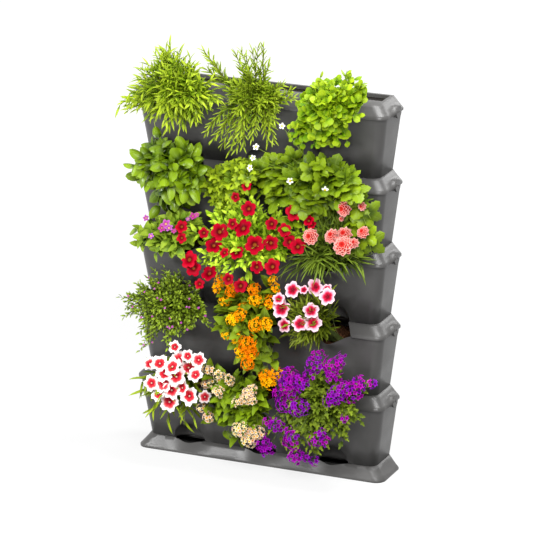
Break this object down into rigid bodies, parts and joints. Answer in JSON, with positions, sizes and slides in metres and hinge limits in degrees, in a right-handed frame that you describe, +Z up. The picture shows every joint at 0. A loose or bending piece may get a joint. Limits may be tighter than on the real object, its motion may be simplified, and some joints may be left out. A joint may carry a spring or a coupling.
{
  "type": "vertical planter",
  "caption": "Free-standing vertical planter: stacked slate-grey troughs with sloping collars on a water tray, planted with herbs and flowers in front pockets.",
  "frame": {"origin": "centre of the tray's underside, on the floor", "axes": "+Z up, -Y to the front where the plants hang, +X to the right seen from the front"},
  "size_m": [0.678, 0.2616, 1.1056],
  "materials": {
    "slate_plastic": "matte",
    "potting_soil": "matte",
    "leaves": "satin",
    "flowers": "matte"
  },
  "bodies": {
    "base": {"base_tray": "slate_plastic"},
    "tier_1": {"trough_1": "slate_plastic", "soil_1": "potting_soil", "white_dianthus": "leaves", "cream_lantana": "leaves", "purple_verbena": "leaves"},
    "cover_1": {"collar_1": "slate_plastic"},
    "tier_2": {"trough_2": "slate_plastic", "soil_2": "potting_soil", "cuphea": "leaves", "orange_lantana": "leaves", "pink_dianthus": "leaves"},
    "cover_2": {"collar_2": "slate_plastic"},
    "tier_3": {"trough_3": "slate_plastic", "soil_3": "potting_soil", "pansy": "leaves", "red_petunia": "leaves", "carnation": "leaves"},
    "cover_3": {"collar_3": "slate_plastic"},
    "tier_4": {"trough_4": "slate_plastic", "soil_4": "potting_soil", "basil": "leaves", "parsley": "leaves", "strawberry": "leaves"},
    "cover_4": {"collar_4": "slate_plastic"},
    "tier_5": {"trough_5": "slate_plastic", "soil_5": "potting_soil", "tarragon": "leaves", "rosemary": "leaves", "oregano": "leaves"},
    "cover_5": {"collar_5": "slate_plastic"}
  },
  "joints": [
    {"name": "tier_1_lift", "type": "slide", "parent": "base", "child": "tier_1", "axis": [0, 0, 1], "range_m": [0, 0.08]},
    {"name": "cover_1_lift", "type": "slide", "parent": "tier_1", "child": "cover_1", "axis": [0, 0, 1], "range_m": [0, 0.05]},
    {"name": "tier_2_lift", "type": "slide", "parent": "cover_1", "child": "tier_2", "axis": [0, 0, 1], "range_m": [0, 0.08]},
    {"name": "cover_2_lift", "type": "slide", "parent": "tier_2", "child": "cover_2", "axis": [0, 0, 1], "range_m": [0, 0.05]},
    {"name": "tier_3_lift", "type": "slide", "parent": "cover_2", "child": "tier_3", "axis": [0, 0, 1], "range_m": [0, 0.08]},
    {"name": "cover_3_lift", "type": "slide", "parent": "tier_3", "child": "cover_3", "axis": [0, 0, 1], "range_m": [0, 0.05]},
    {"name": "tier_4_lift", "type": "slide", "parent": "cover_3", "child": "tier_4", "axis": [0, 0, 1], "range_m": [0, 0.08]},
    {"name": "cover_4_lift", "type": "slide", "parent": "tier_4", "child": "cover_4", "axis": [0, 0, 1], "range_m": [0, 0.05]},
    {"name": "tier_5_lift", "type": "slide", "parent": "cover_4", "child": "tier_5", "axis": [0, 0, 1], "range_m": [0, 0.08]},
    {"name": "cover_5_lift", "type": "slide", "parent": "tier_5", "child": "cover_5", "axis": [0, 0, 1], "range_m": [0, 0.05]}
  ]
}
